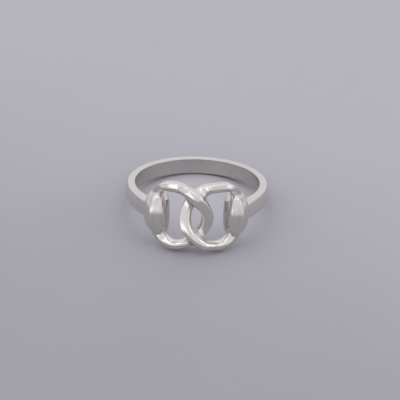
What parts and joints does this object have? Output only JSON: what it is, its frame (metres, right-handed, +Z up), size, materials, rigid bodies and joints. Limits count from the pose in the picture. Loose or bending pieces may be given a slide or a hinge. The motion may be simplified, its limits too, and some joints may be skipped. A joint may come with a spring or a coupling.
{
  "type": "chain link finger ring",
  "caption": "Silver finger ring whose front is a pair of interlocked D links, held at each end by an almond boss on a band that thickens a little towards it.",
  "frame": {"origin": "middle of the box's bottom, on the surface that the ring rests on", "axes": "+Z up, -Y towards the linked front, +X to the right of someone who looks at the front"},
  "size_m": [0.02, 0.0218, 0.01],
  "materials": {
    "silver": "polished sterling silver"
  },
  "bodies": {
    "root": {"ring": "silver"}
  },
  "joints": []
}
